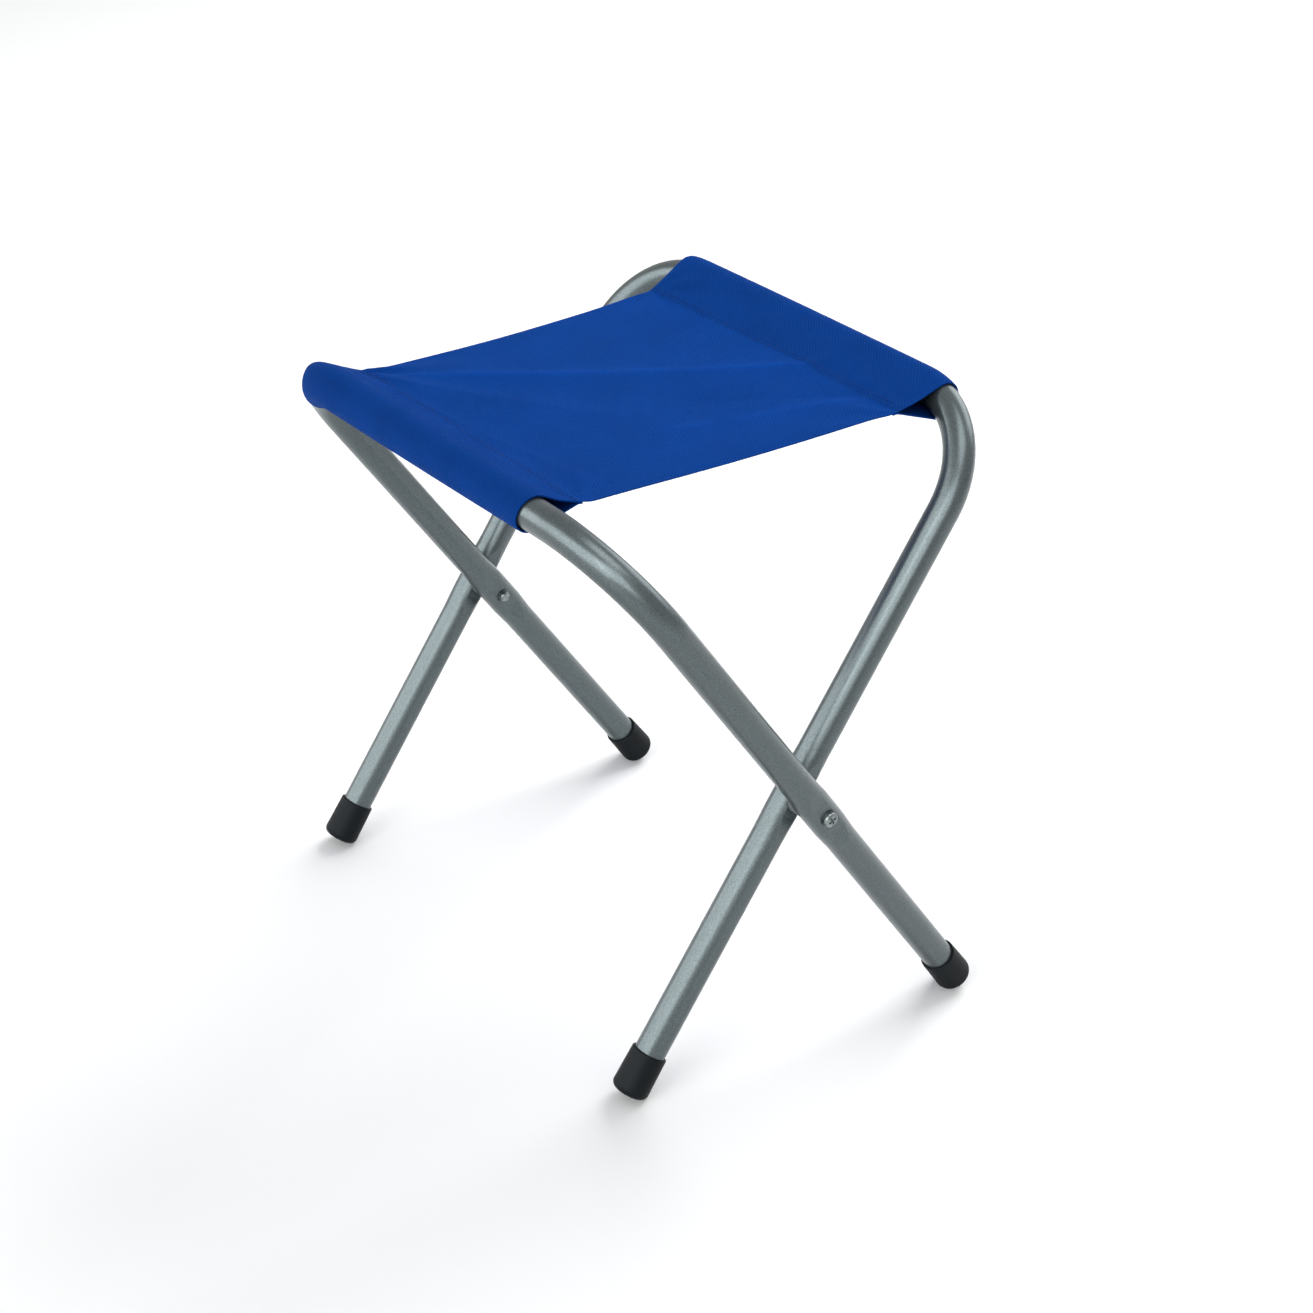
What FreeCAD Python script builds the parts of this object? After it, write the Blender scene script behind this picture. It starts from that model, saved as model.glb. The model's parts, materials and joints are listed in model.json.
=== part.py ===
"""Folding camp stool: two U-shaped steel tubes crossed on two pivot screws, with a fabric seat.

Millimetres. The origin is on the floor, below the middle of the stool. +Z is up, +X runs along
the pivot axis and the two seat rails, and +Y runs from the front rail to the back rail.
The front frame carries the front rail and the two back feet, and the back frame carries the back
rail and the two front feet. The back frame is the front frame turned half a turn about Z.
"""
import FreeCAD, Part
import math
import os

from FreeCAD import Placement, Rotation, Vector

# ---------------------------------------------------------------- frame tubes
TUBE_DIAMETER = 18.0
TUBE_WALL = 1.0
LEG_SPACING = 318.0         # between the centres of the two legs of one frame
FRAME_SHIFT = 25.0          # sideways distance between the two frames
OPEN_ANGLE = 35.3           # each frame's lean from the vertical when the stool is open
PIVOT_TO_FOOT = 190.0       # along the leg, to the end of its foot cap
PIVOT_TO_RAIL = 230.5       # along the leg, to the centre line of the seat rail
BEND_RADIUS = 57.0          # centre line of the two bends

# each leg is pressed to two flats where the pivot screw goes through
PRESS_DEPTH = 1.25          # how far each flat lies below the round tube
PRESS_WIDENING = 0.75       # how far the tube bulges sideways at the flats, on each side
PRESS_HALF_LENGTH = 12.0    # length of the full flat, each way from the pivot
PRESS_RUN_OUT = 14.0        # length over which the widening runs out into the round tube
PRESS_STEEPNESS = 0.85      # length of a flat's ramp, as a share of the run-out

# ---------------------------------------------------------------- foot caps
CAP_LENGTH = 26.0
CAP_FLOOR = 4.0             # rubber under the end of the tube
CAP_RIM_RADIUS = 10.4
CAP_FOOT_RADIUS = 10.8
CAP_EDGE_ROUND = 4.0        # rounding of the edge that stands on the floor
CAP_LIP_ROUND = 0.7
CAP_FLAT_DEPTH = 0.5        # rubber worn away where the cap stands on the floor
CAP_BORE_GAP = 0.02

# ---------------------------------------------------------------- pivot fasteners
SCREW_RADIUS = 2.5
SCREW_HOLE_GAP = 0.06       # radial clearance of the screw in everything it passes through
HEAD_RADIUS = 4.4
HEAD_HEIGHT = 2.4
HEAD_ROUND = 1.6
HEAD_TURN = 30.0            # how the driver cross happens to stand
RECESS_WIDTH = 1.1
RECESS_SPAN = 4.6
RECESS_DEPTH = 1.5
RECESS_POINT = 0.2          # depth and radius of the point at the middle of the cross
HEAD_WASHER_RADIUS = 5.2
HEAD_WASHER_THICKNESS = 0.6
TAIL_WASHER_RADIUS = 4.2
TAIL_WASHER_THICKNESS = 0.8
TAIL_RADIUS = 3.2           # peened end of the screw
TAIL_HEIGHT = 1.8
TAIL_ROUND = 1.1
SPACER_RADIUS = 8.0
SIDE_GAP = 0.15             # running clearance beside the leg that turns on the screw

# ---------------------------------------------------------------- seat fabric
FABRIC_THICKNESS = 0.8
FABRIC_TO_TUBE_GAP = 0.3
PANEL_TO_SLEEVE_GAP = 0.3
FRONT_SEAM_FROM_RAIL = 26.0 # from the rail's centre line to the seam that closes the sleeve
BACK_SEAM_FROM_RAIL = 36.0
SEAM_LAP = 3.0              # how far past the seam the sleeve's two layers would meet
FRONT_SLEEVE_ENDS = (-129.0, 100.0)    # along X, from left to right
BACK_SLEEVE_ENDS = (-128.0, 112.0)
PANEL_HALF_WIDTH = 108.0
STITCH_LENGTH = 2.6
STITCH_PITCH = 3.6
STITCH_WIDTH = 0.6
STITCH_HEIGHT = 0.35
STITCH_LIFT = 0.05          # between the thread and the cloth it lies on
STITCH_ROWS_FROM_SEAM = (-4.0, -1.2)

# ---------------------------------------------------------------- worked out from the above
TUBE_RADIUS = TUBE_DIAMETER / 2
HALF_SPACING = LEG_SPACING / 2
OUTER_LEG_X = HALF_SPACING + FRAME_SHIFT / 2
INNER_LEG_X = HALF_SPACING - FRAME_SHIFT / 2
FLAT_X = TUBE_RADIUS - PRESS_DEPTH
LEAN = math.radians(OPEN_ANGLE)
PIVOT_HEIGHT = (
    (PIVOT_TO_FOOT - CAP_EDGE_ROUND) * math.cos(LEAN)
    + (CAP_FOOT_RADIUS - CAP_EDGE_ROUND) * math.sin(LEAN)
    + CAP_EDGE_ROUND
    - CAP_FLAT_DEPTH
)
RAIL_Y = PIVOT_TO_RAIL * math.sin(LEAN)
RAIL_Z = PIVOT_HEIGHT + PIVOT_TO_RAIL * math.cos(LEAN)

X_AXIS = Vector(1, 0, 0)
Y_AXIS = Vector(0, 1, 0)
Z_AXIS = Vector(0, 0, 1)
CENTRE = Vector(0, 0, 0)


# ---------------------------------------------------------------- small helpers
def fused(shapes):
    """One clean solid from several that touch or overlap."""
    return shapes[0].fuse(shapes[1:]).removeSplitter()


def revolved(edges, axis):
    """A solid of revolution about an axis through the origin, from a closed outline."""
    return Part.Face(Part.Wire(edges)).revolve(CENTRE, axis, 360)


def arc_through(start, middle, end):
    return Part.Arc(start, middle, end).toShape()


def corner_arc(centre, radius, start_angle, end_angle):
    """An arc in the XZ plane, angles in degrees from +X towards +Z."""
    points = []
    for angle in (start_angle, (start_angle + end_angle) / 2, end_angle):
        turn = math.radians(angle)
        points.append(centre + Vector(radius * math.cos(turn), 0, radius * math.sin(turn)))
    return arc_through(*points)


def turned_half(shape):
    """The same piece on the other frame: half a turn about the vertical."""
    copy = shape.copy()
    copy.rotate(CENTRE, Z_AXIS, 180)
    return copy


def on_front_frame(shape):
    """From a frame's own plane (legs along Z, pivot at the origin) to the open front frame."""
    place = Placement(Vector(FRAME_SHIFT / 2, 0, PIVOT_HEIGHT), Rotation(X_AXIS, OPEN_ANGLE))
    copy = shape.copy()
    copy.Placement = place.multiply(copy.Placement)
    return copy


# ---------------------------------------------------------------- frame tube
def frame_path(foot_end):
    """Centre line of one frame in its own plane, from foot_end below the pivot on each leg."""
    side = HALF_SPACING
    bend_start = PIVOT_TO_RAIL - BEND_RADIUS
    diagonal = BEND_RADIUS * math.sqrt(0.5)
    left_bend = Vector(-side + BEND_RADIUS, 0, bend_start)
    right_bend = Vector(side - BEND_RADIUS, 0, bend_start)
    return Part.Wire([
        Part.makeLine(Vector(-side, 0, -foot_end), Vector(-side, 0, bend_start)),
        arc_through(
            Vector(-side, 0, bend_start),
            left_bend + Vector(-diagonal, 0, diagonal),
            left_bend + Vector(0, 0, BEND_RADIUS),
        ),
        Part.makeLine(left_bend + Vector(0, 0, BEND_RADIUS), right_bend + Vector(0, 0, BEND_RADIUS)),
        arc_through(
            right_bend + Vector(0, 0, BEND_RADIUS),
            right_bend + Vector(diagonal, 0, diagonal),
            Vector(side, 0, bend_start),
        ),
        Part.makeLine(Vector(side, 0, bend_start), Vector(side, 0, -foot_end)),
    ])


def swept_round(path, radius):
    """A round bar of the given radius along a path that starts pointing up."""
    start = path.OrderedVertexes[0].Point
    section = Part.Wire(Part.makeCircle(radius, start, Z_AXIS))
    return path.makePipeShell([section], True, False)


def leg_outline(height, across_x, across_y):
    """A closed round or oval outline across a leg, at a height above the pivot."""
    centre = Vector(0, 0, height)
    if across_x == across_y:
        return Part.Wire(Part.makeCircle(across_x, centre, Z_AXIS))
    oval = Part.Ellipse(centre + Vector(0, across_y, 0), centre + Vector(across_x, 0, 0), centre)
    return Part.Wire(oval.toShape())


def pressed_leg(radius):
    """The filled leg near the pivot: widened by the press, with a flat on both sides."""
    full = PRESS_HALF_LENGTH
    end = PRESS_HALF_LENGTH + PRESS_RUN_OUT
    widened = radius + PRESS_WIDENING
    leg = Part.makeLoft(
        [
            leg_outline(-end, radius, radius),
            leg_outline(-full, radius, widened),
            leg_outline(full, radius, widened),
            leg_outline(end, radius, radius),
        ],
        True,
        True,
    )
    flat = radius - PRESS_DEPTH
    beyond = 2 * radius
    run_out = PRESS_RUN_OUT * (beyond - flat) / PRESS_DEPTH * PRESS_STEEPNESS
    for side in (-1, 1):
        outline = [
            Vector(side * beyond, -beyond, -full - run_out),
            Vector(side * flat, -beyond, -full),
            Vector(side * flat, -beyond, full),
            Vector(side * beyond, -beyond, full + run_out),
        ]
        taken_off = Part.Face(Part.makePolygon(outline + outline[:1]))
        leg = leg.cut(taken_off.extrude(Vector(0, 2 * beyond, 0)))
    return leg


def frame_bar(radius, foot_end):
    """A filled frame of the given radius, pressed flat at both pivots, in its own plane."""
    press_end = PRESS_HALF_LENGTH + PRESS_RUN_OUT
    pieces = [swept_round(frame_path(-press_end), radius)]
    for leg_x in (-HALF_SPACING, HALF_SPACING):
        pressed = pressed_leg(radius)
        pressed.translate(Vector(leg_x, 0, 0))
        pieces.append(pressed)
        below = Vector(leg_x, 0, -foot_end)
        pieces.append(Part.makeCylinder(radius, foot_end - press_end, below, Z_AXIS))
    return fused(pieces)


def frame_tube():
    """The hollow U-shaped tube with a screw hole through each leg, in its own plane."""
    tube_end = PIVOT_TO_FOOT - CAP_FLOOR
    outside = frame_bar(TUBE_RADIUS, tube_end)
    inside = frame_bar(TUBE_RADIUS - TUBE_WALL, tube_end + TUBE_WALL)
    drill = Part.makeCylinder(
        SCREW_RADIUS + SCREW_HOLE_GAP, LEG_SPACING + 4 * TUBE_RADIUS,
        Vector(-HALF_SPACING - 2 * TUBE_RADIUS, 0, 0), X_AXIS,
    )
    return outside.cut(inside).cut(drill)


# ---------------------------------------------------------------- foot caps
def foot_cap():
    """Rubber cap that stands on its closed end, with its axis on Z and that end at z = 0."""
    bore = TUBE_RADIUS + CAP_BORE_GAP
    foot_arc = corner_arc(
        Vector(CAP_FOOT_RADIUS - CAP_EDGE_ROUND, 0, CAP_EDGE_ROUND), CAP_EDGE_ROUND, -90, 0
    )
    lip_arc = corner_arc(
        Vector(CAP_RIM_RADIUS - CAP_LIP_ROUND, 0, CAP_LENGTH - CAP_LIP_ROUND), CAP_LIP_ROUND, 0, 90
    )
    edges = [
        Part.makeLine(CENTRE, Vector(CAP_FOOT_RADIUS - CAP_EDGE_ROUND, 0, 0)),
        foot_arc,
        Part.makeLine(
            Vector(CAP_FOOT_RADIUS, 0, CAP_EDGE_ROUND),
            Vector(CAP_RIM_RADIUS, 0, CAP_LENGTH - CAP_LIP_ROUND),
        ),
        lip_arc,
        Part.makeLine(
            Vector(CAP_RIM_RADIUS - CAP_LIP_ROUND, 0, CAP_LENGTH), Vector(bore, 0, CAP_LENGTH)
        ),
        Part.makeLine(Vector(bore, 0, CAP_LENGTH), Vector(bore, 0, CAP_FLOOR)),
        Part.makeLine(Vector(bore, 0, CAP_FLOOR), Vector(0, 0, CAP_FLOOR)),
        Part.makeLine(Vector(0, 0, CAP_FLOOR), CENTRE),
    ]
    return revolved(edges, Z_AXIS)


def cap_on_front_frame(leg_side):
    """A cap on one leg of the open front frame, worn flat where it stands on the floor."""
    cap = foot_cap()
    cap.translate(Vector(leg_side * HALF_SPACING, 0, -PIVOT_TO_FOOT))
    cap = on_front_frame(cap)
    reach = 2 * CAP_LENGTH
    middle = cap.BoundBox.Center
    below_floor = Part.makeBox(
        2 * reach, 2 * reach, reach, Vector(middle.x - reach, middle.y - reach, -reach)
    )
    return cap.cut(below_floor)


# ---------------------------------------------------------------- pivot fasteners
def washer(radius, thickness, start_x):
    """A flat ring round the pivot axis that reaches thickness outwards from start_x."""
    centre = Vector(start_x, 0, PIVOT_HEIGHT)
    disc = Part.makeCylinder(radius, thickness, centre, X_AXIS)
    hole = Part.makeCylinder(SCREW_RADIUS + SCREW_HOLE_GAP, thickness, centre, X_AXIS)
    return disc.cut(hole)


def rounded_end(radius, height, rounding):
    """A flat button with a rounded edge, standing on z = 0 with its axis on Z."""
    edges = [
        Part.makeLine(CENTRE, Vector(radius, 0, 0)),
        Part.makeLine(Vector(radius, 0, 0), Vector(radius, 0, height - rounding)),
        corner_arc(Vector(radius - rounding, 0, height - rounding), rounding, 0, 90),
        Part.makeLine(Vector(radius - rounding, 0, height), Vector(0, 0, height)),
        Part.makeLine(Vector(0, 0, height), CENTRE),
    ]
    return revolved(edges, Z_AXIS)


def cross_recess():
    """The cross that a driver fits, cut down from the top of the screw head."""
    top = HEAD_HEIGHT
    slot = Part.makeBox(
        RECESS_SPAN, RECESS_WIDTH, RECESS_DEPTH,
        Vector(-RECESS_SPAN / 2, -RECESS_WIDTH / 2, top - RECESS_DEPTH),
    )
    crossed = slot.copy()
    crossed.rotate(CENTRE, Z_AXIS, 90)
    point = Part.makeCone(
        RECESS_POINT, RECESS_WIDTH, RECESS_DEPTH,
        Vector(0, 0, top - RECESS_DEPTH - RECESS_POINT), Z_AXIS,
    )
    return slot.fuse([crossed, point])


HEAD_SEAT_X = OUTER_LEG_X + FLAT_X + HEAD_WASHER_THICKNESS
TAIL_WASHER_OUTER_X = INNER_LEG_X - FLAT_X - SIDE_GAP
TAIL_SEAT_X = TAIL_WASHER_OUTER_X - TAIL_WASHER_THICKNESS


def pivot_screw():
    """The right-hand screw: head outside the outer leg, peened end inside the inner leg."""
    head = rounded_end(HEAD_RADIUS, HEAD_HEIGHT, HEAD_ROUND).cut(cross_recess())
    head.rotate(CENTRE, Z_AXIS, HEAD_TURN)
    head.rotate(CENTRE, Y_AXIS, 90)
    head.translate(Vector(HEAD_SEAT_X, 0, PIVOT_HEIGHT))
    tail = rounded_end(TAIL_RADIUS, TAIL_HEIGHT, TAIL_ROUND)
    tail.rotate(CENTRE, Y_AXIS, -90)
    tail.translate(Vector(TAIL_SEAT_X, 0, PIVOT_HEIGHT))
    shank = Part.makeCylinder(
        SCREW_RADIUS, HEAD_SEAT_X - TAIL_SEAT_X, Vector(TAIL_SEAT_X, 0, PIVOT_HEIGHT), X_AXIS
    )
    return fused([shank, head, tail])


def head_washer():
    return washer(HEAD_WASHER_RADIUS, HEAD_WASHER_THICKNESS, OUTER_LEG_X + FLAT_X)


def tail_washer():
    return washer(TAIL_WASHER_RADIUS, TAIL_WASHER_THICKNESS, TAIL_SEAT_X)


def pivot_spacer():
    """The collar between the two legs. It stays with the outer leg."""
    start = INNER_LEG_X + FLAT_X + SIDE_GAP
    return washer(SPACER_RADIUS, OUTER_LEG_X - FLAT_X - start, start)


# ---------------------------------------------------------------- seat fabric
def rail_slice(left_x, right_x):
    """The space round the front rail between two planes square to the X axis."""
    reach = BEND_RADIUS
    return Part.makeBox(
        right_x - left_x, 2 * reach, 2 * reach, Vector(left_x, -RAIL_Y - reach, RAIL_Z - reach)
    )


def sleeve(left_x, right_x):
    """The loop of cloth round the front rail and over the start of each bend."""
    path = frame_path(0)
    inner = TUBE_RADIUS + FABRIC_TO_TUBE_GAP
    ring = swept_round(path, inner + FABRIC_THICKNESS).cut(swept_round(path, inner))
    return on_front_frame(ring).common(rail_slice(left_x, right_x))


def teardrop(radius, point_distance, end_distance):
    """A bar of teardrop section along the front rail: round at the rail, pointed at the seam.

    Distances are from the rail's centre line, and the bar is cut off square at end_distance.
    """
    tangent = math.asin(radius / point_distance)
    rise = Vector(0, radius * math.sin(tangent), radius * math.cos(tangent))
    drop = Vector(0, rise.y, -rise.z)
    rail = Vector(-PANEL_HALF_WIDTH, -RAIL_Y, RAIL_Z)
    point = rail + Vector(0, point_distance, 0)
    outline = Part.Wire([
        Part.makeLine(point, rail + rise),
        arc_through(rail + rise, rail + Vector(0, -radius, 0), rail + drop),
        Part.makeLine(rail + drop, point),
    ])
    bar = Part.Face(outline).extrude(Vector(2 * PANEL_HALF_WIDTH, 0, 0))
    past_end = Part.makeBox(
        2 * PANEL_HALF_WIDTH, 2 * radius, 2 * radius,
        rail + Vector(0, end_distance, -radius),
    )
    return bar.cut(past_end)


def sleeve_mouth(seam_distance):
    """The two layers of cloth that run from the front sleeve to a seam at this distance."""
    clear = TUBE_RADIUS + FABRIC_TO_TUBE_GAP + FABRIC_THICKNESS + PANEL_TO_SLEEVE_GAP
    outer = clear - PANEL_TO_SLEEVE_GAP
    inner = outer - FABRIC_THICKNESS
    layers = teardrop(outer, seam_distance + SEAM_LAP, seam_distance).cut(
        teardrop(inner, seam_distance - SEAM_LAP, seam_distance)
    )
    rail_bar = on_front_frame(swept_round(frame_path(0), clear))
    return layers.cut(rail_bar)


def seat_panel():
    """The cloth between the two rails: one flat layer that splits in two near each rail."""
    front_y = -RAIL_Y + FRONT_SEAM_FROM_RAIL
    back_y = RAIL_Y - BACK_SEAM_FROM_RAIL
    flat = Part.makeBox(
        2 * PANEL_HALF_WIDTH, back_y - front_y, FABRIC_THICKNESS,
        Vector(-PANEL_HALF_WIDTH, front_y, RAIL_Z - FABRIC_THICKNESS / 2),
    )
    front_mouth = sleeve_mouth(FRONT_SEAM_FROM_RAIL)
    back_mouth = turned_half(sleeve_mouth(BACK_SEAM_FROM_RAIL))
    return fused([flat, front_mouth, back_mouth])


def seam_stitching(seam_distance):
    """Two rows of stitches along the front seam, each stitch a separate solid."""
    stitches = []
    count = int(2 * (PANEL_HALF_WIDTH - STITCH_LENGTH) / STITCH_PITCH)
    slope = math.asin(
        (TUBE_RADIUS + FABRIC_TO_TUBE_GAP + FABRIC_THICKNESS) / (seam_distance + SEAM_LAP)
    )
    for row in STITCH_ROWS_FROM_SEAM:
        surface = RAIL_Z + (SEAM_LAP - row) * math.tan(slope)
        for index in range(count):
            middle_x = (index - (count - 1) / 2) * STITCH_PITCH
            stitch = Part.makeBox(
                STITCH_LENGTH, STITCH_WIDTH, STITCH_HEIGHT,
                Vector(-STITCH_LENGTH / 2, -STITCH_WIDTH / 2, STITCH_LIFT),
            )
            stitch.rotate(CENTRE, X_AXIS, -math.degrees(slope))
            stitch.translate(Vector(middle_x, -RAIL_Y + seam_distance + row, surface))
            stitches.append(stitch)
    return Part.makeCompound(stitches)


# ---------------------------------------------------------------- the whole stool
def build():
    """Every sub-part by its node name."""
    front_tube = on_front_frame(frame_tube())
    cap_right = cap_on_front_frame(1)
    cap_left = cap_on_front_frame(-1)
    back_left_x, back_right_x = BACK_SLEEVE_ENDS
    nodes = {
        "front_frame_tube": front_tube,
        "back_frame_tube": turned_half(front_tube),
        "foot_cap_back_right": cap_right,
        "foot_cap_back_left": cap_left,
        "foot_cap_front_left": turned_half(cap_right),
        "foot_cap_front_right": turned_half(cap_left),
        "seat_panel": seat_panel(),
        "front_sleeve": sleeve(*FRONT_SLEEVE_ENDS),
        "back_sleeve": turned_half(sleeve(-back_right_x, -back_left_x)),
        "front_seam_stitching": seam_stitching(FRONT_SEAM_FROM_RAIL),
        "back_seam_stitching": turned_half(seam_stitching(BACK_SEAM_FROM_RAIL)),
    }
    fasteners = {
        "pivot_screw": pivot_screw(),
        "head_washer": head_washer(),
        "pivot_spacer": pivot_spacer(),
        "tail_washer": tail_washer(),
    }
    for name, shape in fasteners.items():
        nodes[name + "_right"] = shape
        nodes[name + "_left"] = turned_half(shape)
    return nodes


os.makedirs("parts", exist_ok=True)
for node, shape in build().items():
    shape.exportStep("parts/" + node + ".step")
    box = shape.BoundBox
    print(
        f"{node}: {len(shape.Solids)} solids, valid {shape.isValid()}, {shape.Volume:.1f} mm3,"
        f" x {box.XMin:.1f} {box.XMax:.1f} y {box.YMin:.1f} {box.YMax:.1f}"
        f" z {box.ZMin:.1f} {box.ZMax:.1f}"
    )
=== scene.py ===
"""Looks of the folding camp stool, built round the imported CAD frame. Metres.

The origin is on the floor below the middle of the stool, +Z up, +X along the pivot axis and the two
seat rails, +Y from the front rail to the back rail.
"""

import json
import math

import bpy
from mathutils import Matrix, Vector, noise


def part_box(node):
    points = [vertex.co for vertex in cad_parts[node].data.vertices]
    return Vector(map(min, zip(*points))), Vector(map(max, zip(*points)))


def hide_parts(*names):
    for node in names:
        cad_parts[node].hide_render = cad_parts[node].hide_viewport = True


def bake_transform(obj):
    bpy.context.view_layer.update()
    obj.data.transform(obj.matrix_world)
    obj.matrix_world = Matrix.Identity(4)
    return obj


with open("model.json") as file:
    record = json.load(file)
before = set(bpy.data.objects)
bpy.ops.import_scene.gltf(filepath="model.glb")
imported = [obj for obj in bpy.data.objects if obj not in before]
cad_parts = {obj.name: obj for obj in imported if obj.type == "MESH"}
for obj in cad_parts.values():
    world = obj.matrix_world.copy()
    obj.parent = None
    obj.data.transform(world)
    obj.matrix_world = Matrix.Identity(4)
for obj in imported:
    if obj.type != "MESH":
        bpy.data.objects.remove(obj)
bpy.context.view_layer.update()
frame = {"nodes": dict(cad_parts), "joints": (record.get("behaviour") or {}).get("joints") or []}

# ---------------------------------------------------------------- sizes taken over from the CAD
TUBE_RADIUS = 0.009
HALF_SPACING = 0.159          # half the distance between one frame's two legs
FRAME_SHIFT = 0.0125          # each frame's sideways shift from the middle
BEND_RADIUS = 0.057
PIVOT = Vector(frame["joints"][0]["pos_m"])
TUBE_LOW, TUBE_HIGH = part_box("front_frame_tube")
RAIL_Y = -TUBE_LOW.y - TUBE_RADIUS
RAIL_Z = TUBE_HIGH.z - TUBE_RADIUS
LEAN = math.atan2(RAIL_Y, RAIL_Z - PIVOT.z)

# ---------------------------------------------------------------- sizes of the seat cloth
# pairs of numbers under "front" and "back" belong to the left and right ends of that sleeve or seam
CLOTH_THICKNESS = 0.0008
CLOTH_RADIUS = 0.0098         # middle of the cloth's thickness, where it lies tight round a rail
FLAT_WIDTH = 0.236
SEAM_FROM_RAIL = {"front": 0.026, "back": 0.036}
SLEEVE_ENDS = {"front": (-0.1216, 0.100), "back": (-0.1246, 0.1095)}
SEAM_ENDS = {"front": (-0.110, 0.1025), "back": (-0.1165, 0.1095)}
SIDE = {"front": -1, "back": 1}
LOOP_SLACK = {"front": (0.0020, 0.0006), "back": (0.0027, 0.0002)}    # radius beyond a tight loop's
SLACK_DROP = {"front": 0.6, "back": 0.3}    # how far each loop hangs, as a share of its slack
MOUTH_SKEW = {"front": 0.0018, "back": 0.0}    # reach of each right mouth: top out, bottom in
MOUTH_LENGTH = 0.15           # share of the cloth's width over which that skew fades away
PUCKER = 0.0016               # how far a soft corner stands out at the front sleeve's left mouth
PUCKER_ANGLE = math.radians(112)
PUCKER_SPREAD = math.radians(32)
PUCKER_LENGTH = 0.16          # share of the cloth's width over which that corner fades away
SEAM_ROUNDING = {"front": 0.0060, "back": 0.0016}    # how softly the cloth turns into the panel
CORNER_SHARPNESS = 0.25       # share of that rounding at the front left corner
CORNER_WIDTH = 0.04           # from that corner to where the rounding is full
SEAM_DROP = 0.0010            # the seams hang a little below the rails' centre lines
SAG = 0.0022                  # of the middle of the seat, below the seams
TAUT_SIDE_SAG = 0.2           # share of that sag at the left edge, which is pulled tighter
TAUT_WIDTH = 0.08             # from the left edge to where the sag is full
NECK = 0.0018                 # how far each side edge is drawn in
EDGE_CURL = 0.0005            # how far each side edge curls down
EDGE_WIDTH = 0.0035
HEM_DEPTH = 0.003             # cloth tucked under the panel beyond each seam
LAYER_GAP = 0.00095           # between the middles of two layers of cloth that touch

# ---------------------------------------------------------------- folds and creases of the seat cloth
MAIN_CREASE = ((-0.104, -0.118), (0.045, 0.121))
SHORT_CREASE = ((0.050, -0.020), (0.084, 0.100))
FOLDS = (                     # height (below 0 for a valley), line from start to end, half-width
    (0.0023, MAIN_CREASE, 0.009),
    (0.0013, SHORT_CREASE, 0.007),
    (-0.0013, ((0.016, 0.004), (0.090, 0.112)), 0.010),
    (0.0016, ((-0.106, -0.120), (0.030, -0.020)), 0.012),
    (0.0011, ((-0.104, -0.117), (0.098, -0.086)), 0.010),
)
CORNER_FANS = (               # height, corner, radians to one ridge, ridges in a full turn, reach
    (0.0014, (-0.114, -0.112), 0.35, 9.0, 0.08),
    (0.0008, (0.106, -0.108), 2.4, 8.0, 0.05),
    (0.0008, (-0.116, 0.098), -0.7, 8.0, 0.05),
    (0.0008, (0.112, 0.098), -2.5, 8.0, 0.05),
)
FAN_START = 0.02              # a fan grows from nothing at its corner to full height here
FOLD_END = 0.15               # share of a fold's length over which each end fades away
RIPPLE_HEIGHT = 0.0007        # of the uneven surface between the folds
RIPPLES_PER_METRE = (22, 16)
# lighter lines along the creases: whitening from wear, and a painted highlight on the crease ridges
WHITENING_AND_HIGHLIGHT = (                 # strength, line, half-width
    (1.0, MAIN_CREASE, 0.0028),
    (0.7, SHORT_CREASE, 0.0030),
)
PATCHES_PER_METRE = 60        # of stronger and weaker whitening and painted highlight

# ---------------------------------------------------------------- weave, mesh and stitches
WEAVE_PITCH = 0.0012
PAINTED_SHADE_BEFORE_FRONT_SEAM = 0.012    # from the seam to where the sleeve's painted shade, for the light that two layers stop, is half gone
FRONT_PAINTED_SHADE_WIDTH = 0.020
BACK_PAINTED_SHADE_WIDTH = 0.002
COLUMNS = 96
HEM_ROWS = 3
FLAP_ROWS = 9
LOOP_ROWS = 26
PANEL_ROWS = 84
STITCHES = 62                 # in one row along a seam
STITCH_COVER = 0.78           # length of a stitch, as a share of the distance between stitches
STITCH_RINGS = 5
STITCH_SIDES = 6
STITCH_ROWS_FROM_SEAM = (0.0012, 0.0042)
THREAD_RADIUS = 0.00028


# ---------------------------------------------------------------- small helpers
def mix(a, b, share):
    return a + (b - a) * share


def smooth(share):
    share = min(max(share, 0.0), 1.0)
    return share * share * (3 - 2 * share)


def new_object(name, mesh):
    piece = bpy.data.objects.new(name, mesh)
    bpy.context.scene.collection.objects.link(piece)
    return piece


# ---------------------------------------------------------------- the rails
def bend_starts(end):
    """X of the two ends of a rail's straight part."""
    shift = -SIDE[end] * FRAME_SHIFT
    straight = HALF_SPACING - BEND_RADIUS
    return shift - straight, shift + straight


def rail_section(end, x):
    """The tube's cut face square to X: its centre, its long direction and how long it is for its width."""
    side = SIDE[end]
    away = Vector((0, side * math.sin(LEAN), math.cos(LEAN)))
    low, high = bend_starts(end)
    beyond = x - high if x > high else min(x - low, 0.0)
    turn = math.asin(beyond / BEND_RADIUS)
    centre = Vector((x, side * RAIL_Y, RAIL_Z)) - away * BEND_RADIUS * (1 - math.cos(turn))
    return centre, away, 1 / math.cos(turn)


# ---------------------------------------------------------------- shape of the seat cloth
def panel_front():
    return -RAIL_Y + SEAM_FROM_RAIL["front"]


def panel_back():
    return RAIL_Y - SEAM_FROM_RAIL["back"]


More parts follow.
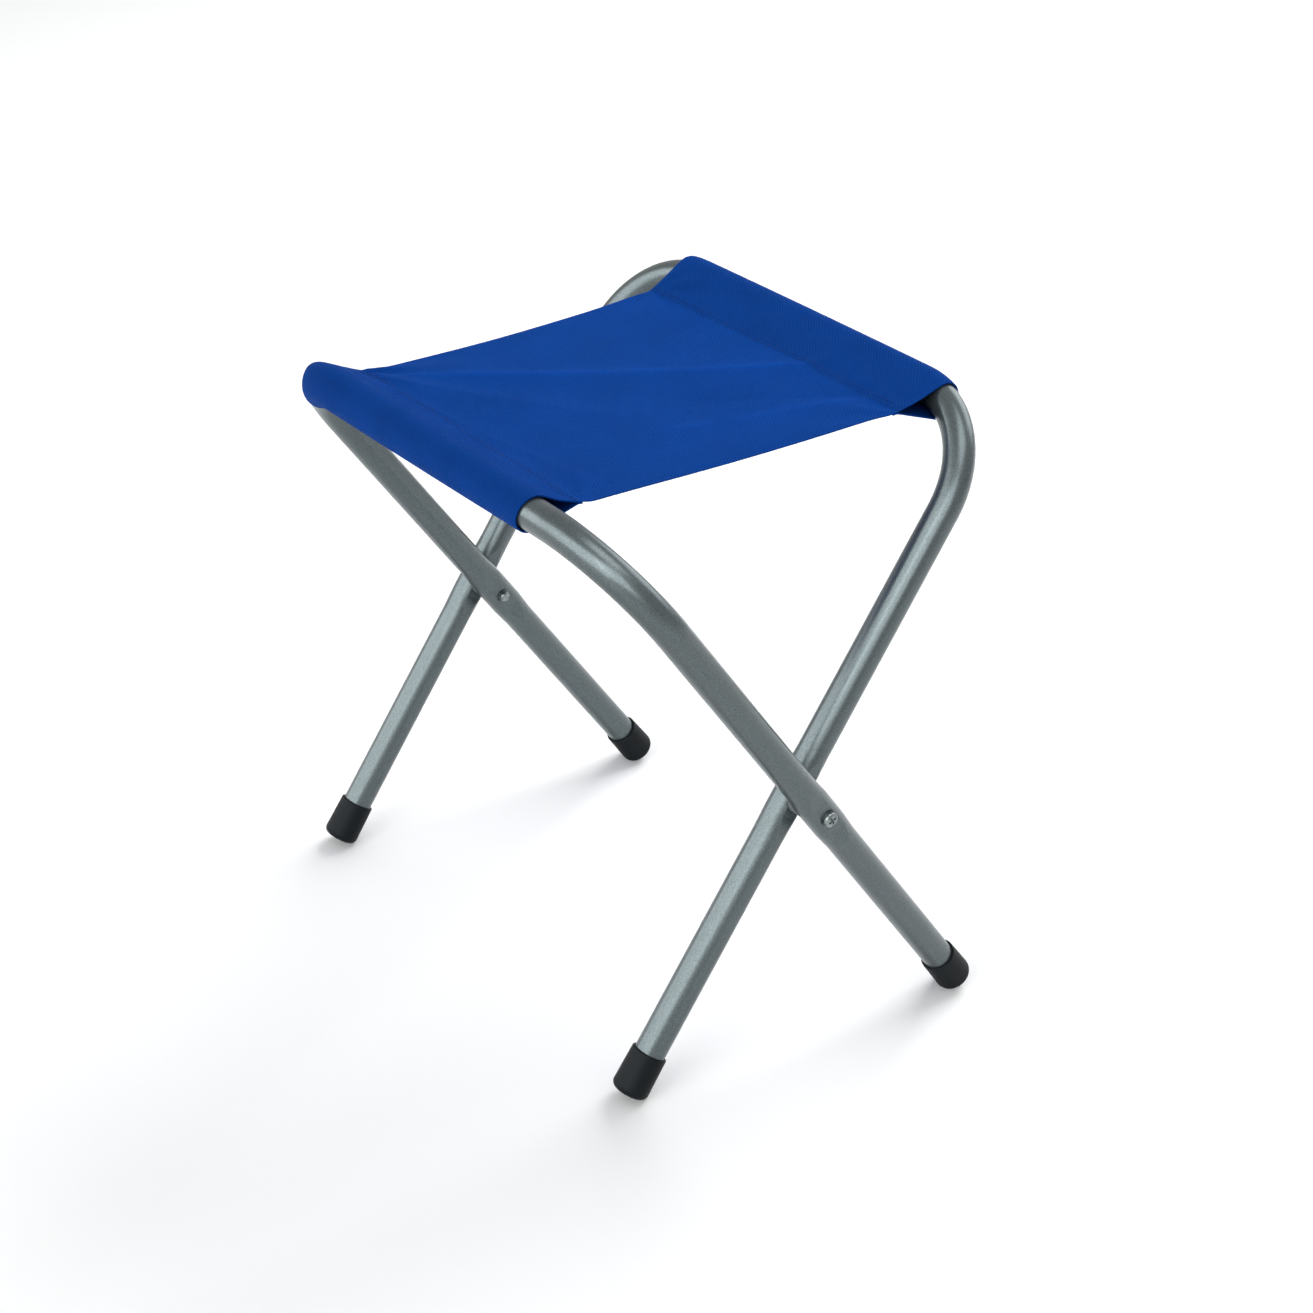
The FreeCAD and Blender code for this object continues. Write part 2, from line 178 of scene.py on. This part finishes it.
def crease(x, y, start, end, width):
    """1 on the line from start to end, fading with distance from it, with soft ends."""
    along = Vector(end) - Vector(start)
    offset = Vector((x, y)) - Vector(start)
    share = offset.dot(along) / along.length_squared
    distance = abs(offset.x * along.y - offset.y * along.x) / along.length
    fade = smooth(share / FOLD_END) * smooth((1 - share) / FOLD_END)
    return fade * math.exp(-distance / width)


def corner_fan(x, y, corner, ridge_angle, ridges, reach):
    """Tension folds that fan out from a corner of the panel, between -1 and 1."""
    offset = Vector((x, y)) - Vector(corner)
    distance = offset.length
    angle = math.atan2(offset.y, offset.x) - ridge_angle
    rise = smooth(distance / FAN_START) * math.exp(-distance / reach)
    return rise * math.cos(ridges * angle)


def seam_rounding(end, x, distance):
    """How far the rounded turn at a seam lies above the sharp one, at a distance from the seam."""
    width = SEAM_ROUNDING[end]
    if end == "front":
        width *= mix(CORNER_SHARPNESS, 1.0, smooth((x - SEAM_ENDS[end][0]) / CORNER_WIDTH))
    slope = CLOTH_RADIUS / SEAM_FROM_RAIL[end]
    return width * slope * math.log1p(math.exp(-abs(distance) / width))


def relief(x, y):
    """Folds and creases of the stretched cloth, as a height."""
    height = 0.0
    for rise, line, width in FOLDS:
        height += rise * crease(x, y, *line, width)
    for rise, *fan in CORNER_FANS:
        height += rise * corner_fan(x, y, *fan)
    along_x, along_y = RIPPLES_PER_METRE
    return height + RIPPLE_HEIGHT * noise.noise(Vector((x * along_x, y * along_y, 0.3)))


def crease_wear_and_highlight(x, y):
    """How much the creases have whitened the cloth and are painted lighter as a highlight on their ridges,
    from 0 to 1.
    """
    patch = noise.noise(Vector((x * PATCHES_PER_METRE, y * PATCHES_PER_METRE, 2.0)))
    whitened_and_lit = sum(strength * crease(x, y, *line, width) for strength, line, width in WHITENING_AND_HIGHLIGHT)
    return min(max(whitened_and_lit * (0.8 + 0.5 * patch), 0.0), 1.0)


def panel_sides(t):
    """X of the panel's two free edges, drawn in between the seams and flared at the back left."""
    neck = NECK * math.sin(math.pi * t)
    left = mix(SEAM_ENDS["front"][0], SEAM_ENDS["back"][0], t ** 4) + neck
    right = mix(SEAM_ENDS["front"][1], SEAM_ENDS["back"][1], t) - neck
    return left, right


def panel_height(x, y):
    """Height of the middle of the cloth over the panel."""
    share = min(max((y - panel_front()) / (panel_back() - panel_front()), 0.0), 1.0)
    hang = 4 * share * (1 - share)
    left, right = panel_sides(share)
    sag = SAG * hang * mix(TAUT_SIDE_SAG, 1.0, smooth((x - left) / TAUT_WIDTH))
    rounding = seam_rounding("front", x, y - panel_front())
    rounding += seam_rounding("back", x, panel_back() - y)
    curl = EDGE_CURL * (math.exp((left - x) / EDGE_WIDTH) + math.exp((x - right) / EDGE_WIDTH))
    return RAIL_Z - SEAM_DROP - sag - curl * hang + rounding + relief(x, y)


def panel_point(u, t):
    """A point of the panel: u across from left to right, t from the front seam to the back seam."""
    x = mix(*panel_sides(t), u)
    y = mix(panel_front(), panel_back(), t)
    return Vector((x, y, panel_height(x, y)))


def squeeze(vector, direction, factor):
    """The vector, with its part along the direction made longer by the factor."""
    return vector + direction * vector.dot(direction) * (factor - 1)


def sleeve_section(end, u):
    """One cross-section of a sleeve: a point at any angle on the loop, and where the flaps touch it.

    Angles start at the direction of the seam and pass over the top of the rail.
    """
    centre, away, stretch = rail_section(end, mix(*SLEEVE_ENDS[end], u))
    inward = Vector((0, -SIDE[end], 0))
    upright = Vector((0, 0, 1))
    slack = mix(*LOOP_SLACK[end], u * u)
    radius = CLOTH_RADIUS + slack
    centre = centre + (inward - upright) * slack * SLACK_DROP[end]
    pucker = PUCKER * smooth(1 - u / PUCKER_LENGTH) if end == "front" else 0.0
    skew = MOUTH_SKEW[end] * smooth(1 - (1 - u) / MOUTH_LENGTH)

    def on_loop(angle):
        corner = pucker * math.exp(-((angle - PUCKER_ANGLE) / PUCKER_SPREAD) ** 2)
        spoke = inward * math.cos(angle) + upright * math.sin(angle)
        reach_out = Vector((skew * spoke.z, 0, 0))
        return centre + squeeze(spoke * (radius + corner), away, stretch) + reach_out

    seam = panel_point(u, 0.0 if end == "front" else 1.0)
    rounding = seam_rounding(end, seam.x, 0.0)
    sharp_seam = seam - Vector((0, 0, rounding + relief(seam.x, seam.y)))
    reach = squeeze(sharp_seam - centre, away, 1 / stretch)
    distance = math.hypot(reach.dot(inward), reach.dot(upright))
    base = math.atan2(reach.dot(upright), reach.dot(inward))
    spread = math.acos(radius / distance)
    return on_loop, base + spread, base - spread + 2 * math.pi, sharp_seam


def upper_flap(end, u, share):
    """A point of the sleeve's upper layer: share 0 where it leaves the loop, 1 at the seam."""
    on_loop, top, _, sharp_seam = sleeve_section(end, u)
    point = on_loop(top).lerp(sharp_seam, share)
    rounding = seam_rounding(end, point.x, (1 - share) * SEAM_FROM_RAIL[end])
    point.z += (rounding + relief(point.x, point.y)) * smooth(share * 2)
    return point


def sleeve_rows(end, u):
    """Points of one sleeve from the edge of its hem, round the rail, to just short of its seam."""
    seam_t, inward = (0.0, 1.0) if end == "front" else (1.0, -1.0)
    on_loop, top, bottom, _ = sleeve_section(end, u)
    layer_gap = Vector((0, 0, LAYER_GAP))
    below_seam = panel_point(u, seam_t) - layer_gap
    rows = []
    for index in range(HEM_ROWS):
        depth = HEM_DEPTH * (1 - index / HEM_ROWS)
        over = panel_point(u, seam_t + inward * depth / (panel_back() - panel_front()))
        rows.append(over - layer_gap)
    for index in range(FLAP_ROWS):
        rows.append(below_seam.lerp(on_loop(bottom), index / FLAP_ROWS))
    for index in range(LOOP_ROWS):
        rows.append(on_loop(mix(bottom, top, index / LOOP_ROWS)))
    for index in range(FLAP_ROWS):
        rows.append(upper_flap(end, u, index / FLAP_ROWS))
    return rows


def cloth_column(u):
    """Points along the cloth from the front hem to the back hem, at one place across it."""
    rows = sleeve_rows("front", u)
    for index in range(PANEL_ROWS + 1):
        even = index / PANEL_ROWS
        rows.append(panel_point(u, even - 0.7 * math.sin(2 * math.pi * even) / (2 * math.pi)))
    rows += reversed(sleeve_rows("back", u))
    return rows


def cloth_mesh():
    """The whole cloth as one sheet, with its flat coordinates in metres in the UV map 'cloth'."""
    columns = [cloth_column(index / COLUMNS) for index in range(COLUMNS + 1)]
    row_count = len(columns[0])
    middle = columns[COLUMNS // 2]
    lengths = [0.0]
    for before, after in zip(middle, middle[1:]):
        lengths.append(lengths[-1] + (after - before).length)
    vertices = [point for column in columns for point in column]
    faces = []
    for column in range(COLUMNS):
        for row in range(row_count - 1):
            corner = column * row_count + row
            faces.append((corner, corner + row_count, corner + row_count + 1, corner + 1))
    mesh = bpy.data.meshes.new("seat_cloth")
    mesh.from_pydata(vertices, [], faces)
    uv = mesh.uv_layers.new(name="cloth")
    for loop in mesh.loops:
        column, row = divmod(loop.vertex_index, row_count)
        uv.data[loop.index].uv = (FLAT_WIDTH * column / COLUMNS, lengths[row])
    creased = mesh.attributes.new("crease_wear_and_highlight", "FLOAT", "POINT")
    first_panel_row = HEM_ROWS + FLAP_ROWS + LOOP_ROWS + FLAP_ROWS
    for index, point in enumerate(vertices):
        row = index % row_count
        on_panel = first_panel_row <= row <= first_panel_row + PANEL_ROWS
        creased.data[index].value = crease_wear_and_highlight(point.x, point.y) if on_panel else 0.0
    mesh.update()
    seams = (lengths[first_panel_row], lengths[first_panel_row + PANEL_ROWS])
    return mesh, lengths[-1], seams


def finish_mesh(piece, sharp_angle):
    """Applies the piece's modifiers, and shades it smooth but for edges sharper than the angle."""
    graph = bpy.context.evaluated_depsgraph_get()
    mesh = bpy.data.meshes.new_from_object(piece.evaluated_get(graph))
    piece.modifiers.clear()
    piece.data = mesh
    mesh.shade_smooth()
    mesh.set_sharp_from_angle(angle=math.radians(sharp_angle))


def build_cloth():
    mesh, flat_length, seams = cloth_mesh()
    cloth = new_object("seat_cloth", mesh)
    subdivision = cloth.modifiers.new("rounding", "SUBSURF")
    subdivision.levels = 1
    subdivision.render_levels = 1
    solidify = cloth.modifiers.new("thickness", "SOLIDIFY")
    solidify.thickness = CLOTH_THICKNESS
    solidify.offset = 0.0
    finish_mesh(cloth, 50)
    return cloth, flat_length, seams


# ---------------------------------------------------------------- seam stitches
def stitch_points(end, distance, index):
    """The two ends of one stitch on the upper flap, and the direction that stands off the cloth."""
    share = 1 - distance / SEAM_FROM_RAIL[end]
    first = (index + 0.5 - STITCH_COVER / 2) / STITCHES
    last = (index + 0.5 + STITCH_COVER / 2) / STITCHES
    start = upper_flap(end, first, share)
    stop = upper_flap(end, last, share)
    uphill = upper_flap(end, first, share - 0.05) - start
    outward = (stop - start).cross(uphill).normalized()
    return start, stop, outward if outward.z > 0 else -outward


def add_stitch(vertices, faces, start, stop, outward):
    """A short thread with pointed ends that dips into the cloth at both of them."""
    along = stop - start
    sideways = along.cross(outward).normalized()
    first = len(vertices)
    vertices.append(start)
    for ring in range(1, STITCH_RINGS):
        share = ring / STITCH_RINGS
        arch = math.sqrt(math.sin(math.pi * share))
        lift = CLOTH_THICKNESS / 2 + THREAD_RADIUS * (arch - 0.5)
        centre = start + along * share + outward * lift
        for step in range(STITCH_SIDES):
            angle = 2 * math.pi * step / STITCH_SIDES
            spoke = sideways * math.cos(angle) + outward * math.sin(angle) * 0.7
            vertices.append(centre + spoke * THREAD_RADIUS * arch)
    vertices.append(stop)
    for step in range(STITCH_SIDES):
        beside = (step + 1) % STITCH_SIDES
        faces.append((first, first + 1 + beside, first + 1 + step))
        for ring in range(STITCH_RINGS - 2):
            low = first + 1 + ring * STITCH_SIDES
            high = low + STITCH_SIDES
            faces.append((low + step, low + beside, high + beside, high + step))
        high = first + 1 + (STITCH_RINGS - 2) * STITCH_SIDES
        faces.append((high + step, high + beside, high + STITCH_SIDES))


def build_seam_thread(end):
    """The rows of stitches that close one sleeve."""
    vertices = []
    faces = []
    for distance in STITCH_ROWS_FROM_SEAM:
        for index in range(STITCHES):
            add_stitch(vertices, faces, *stitch_points(end, distance, index))
    mesh = bpy.data.meshes.new(end + "_seam_thread")
    mesh.from_pydata(vertices, [], faces)
    mesh.shade_smooth()
    mesh.update()
    return new_object(end + "_seam_thread", mesh)


# ---------------------------------------------------------------- materials
def new_material(name):
    material = bpy.data.materials.new(name)
    material.use_nodes = True
    nodes = material.node_tree.nodes
    return material, nodes, material.node_tree.links, nodes["Principled BSDF"]


def add(nodes, kind, **settings):
    """A node with its settings: inputs by their name with spaces, properties by their own name."""
    node = nodes.new(kind)
    for name, value in settings.items():
        if hasattr(node, name):
            setattr(node, name, value)
        else:
            node.inputs[name.replace("_", " ")].default_value = value
    return node


def maths(nodes, links, operation, first, second=None):
    node = nodes.new("ShaderNodeMath")
    node.operation = operation
    for index, value in enumerate((first, second)):
        if value is None:
            continue
        if isinstance(value, (int, float)):
            node.inputs[index].default_value = value
        else:
            links.new(value, node.inputs[index])
    return node.outputs[0]


def two_colours(nodes, links, share, low, high, low_at=0.0, high_at=1.0):
    ramp = nodes.new("ShaderNodeValToRGB")
    ramp.color_ramp.elements[0].position = low_at
    ramp.color_ramp.elements[1].position = high_at
    ramp.color_ramp.elements[0].color = (*low, 1)
    ramp.color_ramp.elements[1].color = (*high, 1)
    links.new(share, ramp.inputs[0])
    return ramp.outputs[0]


def bump(nodes, links, height, distance, strength, under=None):
    node = nodes.new("ShaderNodeBump")
    node.inputs["Distance"].default_value = distance
    node.inputs["Strength"].default_value = strength
    links.new(height, node.inputs["Height"])
    if under is not None:
        links.new(under, node.inputs["Normal"])
    return node.outputs[0]


def frame_paint():
    """Silver-grey metallic paint: fine flake, a little orange peel and a soft drift in roughness."""
    material, nodes, links, shader = new_material("frame_paint")
    place = nodes.new("ShaderNodeTexCoord").outputs["Object"]
    drift = add(nodes, "ShaderNodeTexNoise", Scale=35.0, Detail=3.0)
    flake = add(nodes, "ShaderNodeTexNoise", Scale=2200.0, Detail=2.0)
    peel = add(nodes, "ShaderNodeTexNoise", Scale=420.0, Detail=2.0)
    for node in (drift, flake, peel):
        links.new(place, node.inputs["Vector"])
    colour = two_colours(
        nodes, links, flake.outputs[0], (0.070, 0.087, 0.091), (0.132, 0.158, 0.163), 0.36, 0.64
    )
    links.new(colour, shader.inputs["Base Color"])
    rough = maths(nodes, links, "MULTIPLY", drift.outputs[0], 0.10)
    links.new(maths(nodes, links, "ADD", rough, 0.27), shader.inputs["Roughness"])
    shader.inputs["Metallic"].default_value = 0.8
    shader.inputs["Coat Weight"].default_value = 0.15
    shader.inputs["Coat Roughness"].default_value = 0.2
    fine = bump(nodes, links, flake.outputs[0], 0.00004, 0.35)
    links.new(bump(nodes, links, peel.outputs[0], 0.00008, 0.25, fine), shader.inputs["Normal"])
    return material


def cap_rubber():
    material, nodes, links, shader = new_material("cap_rubber")
    place = nodes.new("ShaderNodeTexCoord").outputs["Object"]
    grain = add(nodes, "ShaderNodeTexNoise", Scale=900.0, Detail=3.0)
    dust = add(nodes, "ShaderNodeTexNoise", Scale=60.0, Detail=4.0)
    for node in (grain, dust):
        links.new(place, node.inputs["Vector"])
    colour = two_colours(
        nodes, links, dust.outputs[0], (0.0025, 0.0045, 0.0060), (0.0050, 0.0075, 0.0095), 0.3, 0.75
    )
    links.new(colour, shader.inputs["Base Color"])
    rough = maths(nodes, links, "MULTIPLY", dust.outputs[0], 0.15)
    links.new(maths(nodes, links, "ADD", rough, 0.45), shader.inputs["Roughness"])
    shader.inputs["Specular IOR Level"].default_value = 0.13
    links.new(bump(nodes, links, grain.outputs[0], 0.0001, 0.3), shader.inputs["Normal"])
    return material


def plated_steel(name, dark, bright, roughness):
    """Zinc-plated steel with a fine mottle."""
    material, nodes, links, shader = new_material(name)
    place = nodes.new("ShaderNodeTexCoord").outputs["Object"]
    mottle = add(nodes, "ShaderNodeTexNoise", Scale=700.0, Detail=3.0)
    links.new(place, mottle.inputs["Vector"])
    colour = two_colours(nodes, links, mottle.outputs[0], dark, bright, 0.3, 0.7)
    links.new(colour, shader.inputs["Base Color"])
    rough = maths(nodes, links, "MULTIPLY", mottle.outputs[0], 0.15)
    links.new(maths(nodes, links, "ADD", rough, roughness), shader.inputs["Roughness"])
    shader.inputs["Metallic"].default_value = 1.0
    links.new(bump(nodes, links, mottle.outputs[0], 0.00004, 0.3), shader.inputs["Normal"])
    return material


def spacer_plastic():
    material, nodes, links, shader = new_material("spacer_plastic")
    place = nodes.new("ShaderNodeTexCoord").outputs["Object"]
    grain = add(nodes, "ShaderNodeTexNoise", Scale=1200.0, Detail=2.0)
    links.new(place, grain.inputs["Vector"])
    colour = two_colours(
        nodes, links, grain.outputs[0], (0.105, 0.118, 0.118), (0.135, 0.150, 0.150), 0.3, 0.7
    )
    links.new(colour, shader.inputs["Base Color"])
    shader.inputs["Roughness"].default_value = 0.5
    links.new(bump(nodes, links, grain.outputs[0], 0.00005, 0.3), shader.inputs["Normal"])
    return material


def weave_height(nodes, links, flat, pitch):
    """Plain weave of warp and weft threads at the pitch, from the cloth's flat coordinates."""
    parts = nodes.new("ShaderNodeSeparateXYZ")
    links.new(flat, parts.inputs[0])
    waves = []
    for axis in (0, 1):
        turns = maths(nodes, links, "MULTIPLY", parts.outputs[axis], math.pi / pitch)
        waves.append(maths(nodes, links, "SINE", turns))
    crossing = maths(nodes, links, "MULTIPLY", waves[0], waves[1])
    over = maths(nodes, links, "GREATER_THAN", crossing, 0.0)
    warp = maths(nodes, links, "ABSOLUTE", waves[0])
    weft = maths(nodes, links, "ABSOLUTE", waves[1])
    under = maths(nodes, links, "SUBTRACT", 1.0, over)
    top = maths(nodes, links, "MULTIPLY", warp, over)
    other = maths(nodes, links, "MULTIPLY", weft, under)
    return maths(nodes, links, "ADD", top, other)


def painted_light_through_panel(nodes, links, flat, seams):
    """Painted light: 1 on the panel, painted lighter where light comes through the cloth, and 0 in the
    sleeves, painted darker where two layers stop it.

    It falls off softly in front, where the upper layer lies high over the lower one.
    """
    parts = nodes.new("ShaderNodeSeparateXYZ")
    links.new(flat, parts.inputs[0])
    sides = []
    front_edge = (seams[0] - PAINTED_SHADE_BEFORE_FRONT_SEAM, 1, FRONT_PAINTED_SHADE_WIDTH)
    back_edge = (seams[1], -1, BACK_PAINTED_SHADE_WIDTH)
    for edge, inward, width in (front_edge, back_edge):
        beyond = maths(nodes, links, "SUBTRACT", parts.outputs[1], edge)
        steep = maths(nodes, links, "MULTIPLY", beyond, inward / width)
        step = maths(nodes, links, "ADD", steep, 0.5)
        step.node.use_clamp = True
        sides.append(step)
    return maths(nodes, links, "MULTIPLY", *sides)


def seat_fabric(seams):
    """Royal blue woven polyester, with painted shade where two layers lie on one another and let less
    light through.
    """
    material, nodes, links, shader = new_material("seat_fabric")
    flat = add(nodes, "ShaderNodeUVMap", uv_map="cloth").outputs[0]
    weave = weave_height(nodes, links, flat, WEAVE_PITCH)
    shade = add(nodes, "ShaderNodeTexNoise", Scale=28.0, Detail=4.0)
    thread = add(nodes, "ShaderNodeTexNoise", Scale=1100.0, Detail=2.0)
    for node in (shade, thread):
        links.new(flat, node.inputs["Vector"])
    creased = add(nodes, "ShaderNodeAttribute", attribute_name="crease_wear_and_highlight").outputs["Fac"]
    parts = (
        maths(nodes, links, "MULTIPLY", shade.outputs[0], 0.25),
        maths(nodes, links, "MULTIPLY", weave, 0.40),
        maths(nodes, links, "MULTIPLY", thread.outputs[0], 0.25),
        # lighter along the creases: whitening from wear, and a painted highlight on their ridges
        maths(nodes, links, "MULTIPLY", creased, 0.24),
        # painted light: the single-layer panel lighter and the two-layer sleeves darker, for light shining
        # through the cloth
        maths(nodes, links, "MULTIPLY", painted_light_through_panel(nodes, links, flat, seams), 0.08),
    )
    share = parts[0]
    for part in parts[1:]:
        share = maths(nodes, links, "ADD", share, part)
    colour = two_colours(
        nodes, links, share, (0.0004, 0.0195, 0.106), (0.0022, 0.063, 0.368), 0.15, 1.0
    )
    links.new(colour, shader.inputs["Base Color"])
    shader.inputs["Roughness"].default_value = 0.7
    shader.inputs["Specular IOR Level"].default_value = 0.02
    shader.inputs["Sheen Weight"].default_value = 0.02
    shader.inputs["Sheen Roughness"].default_value = 0.4
    shader.inputs["Sheen Tint"].default_value = (0.1, 0.4, 0.9, 1)
    fine = bump(nodes, links, thread.outputs[0], 0.00006, 0.4)
    links.new(bump(nodes, links, weave, 0.00026, 0.8, fine), shader.inputs["Normal"])
    return material


def seam_thread():
    material, nodes, links, shader = new_material("seam_thread")
    place = nodes.new("ShaderNodeTexCoord").outputs["Object"]
    twist = add(nodes, "ShaderNodeTexNoise", Scale=2500.0, Detail=2.0)
    links.new(place, twist.inputs["Vector"])
    colour = two_colours(
        nodes, links, twist.outputs[0], (0.0010, 0.022, 0.130), (0.0030, 0.044, 0.240), 0.3, 0.7
    )
    links.new(colour, shader.inputs["Base Color"])
    shader.inputs["Roughness"].default_value = 0.55
    shader.inputs["Specular IOR Level"].default_value = 0.1
    links.new(bump(nodes, links, twist.outputs[0], 0.00005, 0.4), shader.inputs["Normal"])
    return material


def paint_node(name, material):
    """Gives a CAD node that stays in view its material."""
    node = frame["nodes"][name]
    node.data.materials.clear()
    node.data.materials.append(material)


# ---------------------------------------------------------------- floor, lights and camera
STOOL_MIDDLE = Vector((0, 0, 0.2))
FLOOR_REACH = 30.0
LIGHT_COLOUR = (0.98, 0.995, 1.0)


def add_area_light(name, azimuth, elevation, distance, size, radiance):
    """A white rectangle of light aimed at the stool, unseen by the camera. Angles are in degrees."""
    light = bpy.data.lights.new(name, "AREA")
    light.shape = "RECTANGLE"
    light.size, light.size_y = size
    light.energy = radiance * math.pi * light.size * light.size_y
    light.color = LIGHT_COLOUR
    turn, rise = math.radians(azimuth), math.radians(elevation)
    aside = math.cos(rise)
    direction = Vector((aside * math.cos(turn), aside * math.sin(turn), math.sin(rise)))
    lamp = new_object(name, light)
    lamp.location = STOOL_MIDDLE + direction * distance
    lamp.rotation_euler = (-direction).to_track_quat("-Z", "Y").to_euler()
    lamp.visible_camera = False
    return lamp


def build_floor():
    mesh = bpy.data.meshes.new("floor")
    reach = FLOOR_REACH
    corners = [(-reach, -reach, 0), (reach, -reach, 0), (reach, reach, 0), (-reach, reach, 0)]
    mesh.from_pydata(corners, [], [(0, 1, 2, 3)])
    floor = new_object("floor", mesh)
    material, nodes, links, shader = new_material("floor_white")
    shader.inputs["Base Color"].default_value = (0.91, 0.91, 0.91, 1)
    shader.inputs["Roughness"].default_value = 0.9
    shader.inputs["Specular IOR Level"].default_value = 0.1
    mesh.materials.append(material)


def build_lights():
    """Even light from all round, two lights that shade the cloth, and reflectors seen in the tubes."""
    world = bpy.data.worlds.new("studio")
    world.use_nodes = True
    background = world.node_tree.nodes["Background"]
    background.inputs["Color"].default_value = (1.0, 1.0, 1.0, 1)
    background.inputs["Strength"].default_value = 0.66
    bpy.context.scene.world = world
    key = add_area_light("key_light", 108, 42, 2.6, (1.8, 1.6), 6.6)
    key.visible_glossy = False
    fill = add_area_light("front_fill", -75, 22, 2.4, (1.6, 1.4), 3.8)
    fill.visible_glossy = False
    reflectors = (
        add_area_light("left_reflector", -139, 16, 2.2, (1.2, 1.3), 3.2),
        add_area_light("front_reflector", -87, 25, 2.2, (2.8, 1.8), 3.1),
        add_area_light("right_reflector", -36, 30, 2.2, (1.6, 1.4), 3.2),
        add_area_light("top_reflector", 15, 68, 2.0, (1.2, 1.2), 2.9),
        add_area_light("back_reflector", 94, 26, 2.2, (1.6, 1.2), 2.5),
    )
    for reflector in reflectors:
        reflector.visible_diffuse = False


CAMERA_PLACE = Vector((1.02982, -0.74128, PIVOT.z + 0.72386))
CAMERA_YAW = math.radians(143.642)
CAMERA_PITCH = math.radians(-29.054)
CAMERA_ROLL = math.radians(0.179)


def build_camera():
    camera = bpy.data.cameras.new("camera")
    camera.sensor_width = 36.0
    camera.lens = 68.25
    camera.clip_end = 50.0
    forward = Vector((
        math.cos(CAMERA_YAW) * math.cos(CAMERA_PITCH),
        math.sin(CAMERA_YAW) * math.cos(CAMERA_PITCH),
        math.sin(CAMERA_PITCH),
    ))
    level = Vector((math.sin(CAMERA_YAW), -math.cos(CAMERA_YAW), 0))
    upright = level.cross(forward)
    right = level * math.cos(CAMERA_ROLL) + upright * math.sin(CAMERA_ROLL)
    up = right.cross(forward)
    place = Matrix((right, up, -forward)).transposed().to_4x4()
    place.translation = CAMERA_PLACE
    holder = new_object("camera", camera)
    holder.matrix_world = place
    bpy.context.scene.camera = holder


# ---------------------------------------------------------------- the whole scene
paint = frame_paint()
rubber = cap_rubber()
screw_zinc = plated_steel("screw_zinc", (0.13, 0.155, 0.15), (0.30, 0.335, 0.33), 0.22)
# darker zinc on the washers: painted shade of the dark ring round each screw head
washer_zinc = plated_steel("washer_zinc", (0.08, 0.095, 0.095), (0.17, 0.19, 0.19), 0.3)
spacer = spacer_plastic()
thread = seam_thread()

for end in ("front", "back"):
    paint_node(end + "_frame_tube", paint)
for hand in ("right", "left"):
    paint_node("foot_cap_front_" + hand, rubber)
    paint_node("foot_cap_back_" + hand, rubber)
    paint_node("pivot_screw_" + hand, screw_zinc)
    paint_node("head_washer_" + hand, washer_zinc)
    paint_node("tail_washer_" + hand, washer_zinc)
    paint_node("pivot_spacer_" + hand, spacer)

cloth, flat_length, seams = build_cloth()
cloth.data.materials.append(seat_fabric(seams))
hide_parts("seat_panel", "front_sleeve", "back_sleeve")
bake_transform(cloth)
for end in ("front", "back"):
    seam = build_seam_thread(end)
    seam.data.materials.append(thread)
    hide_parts(end + "_seam_stitching")
    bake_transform(seam)

build_floor()
build_lights()
build_camera()
bpy.context.scene.view_settings.view_transform = "Standard"
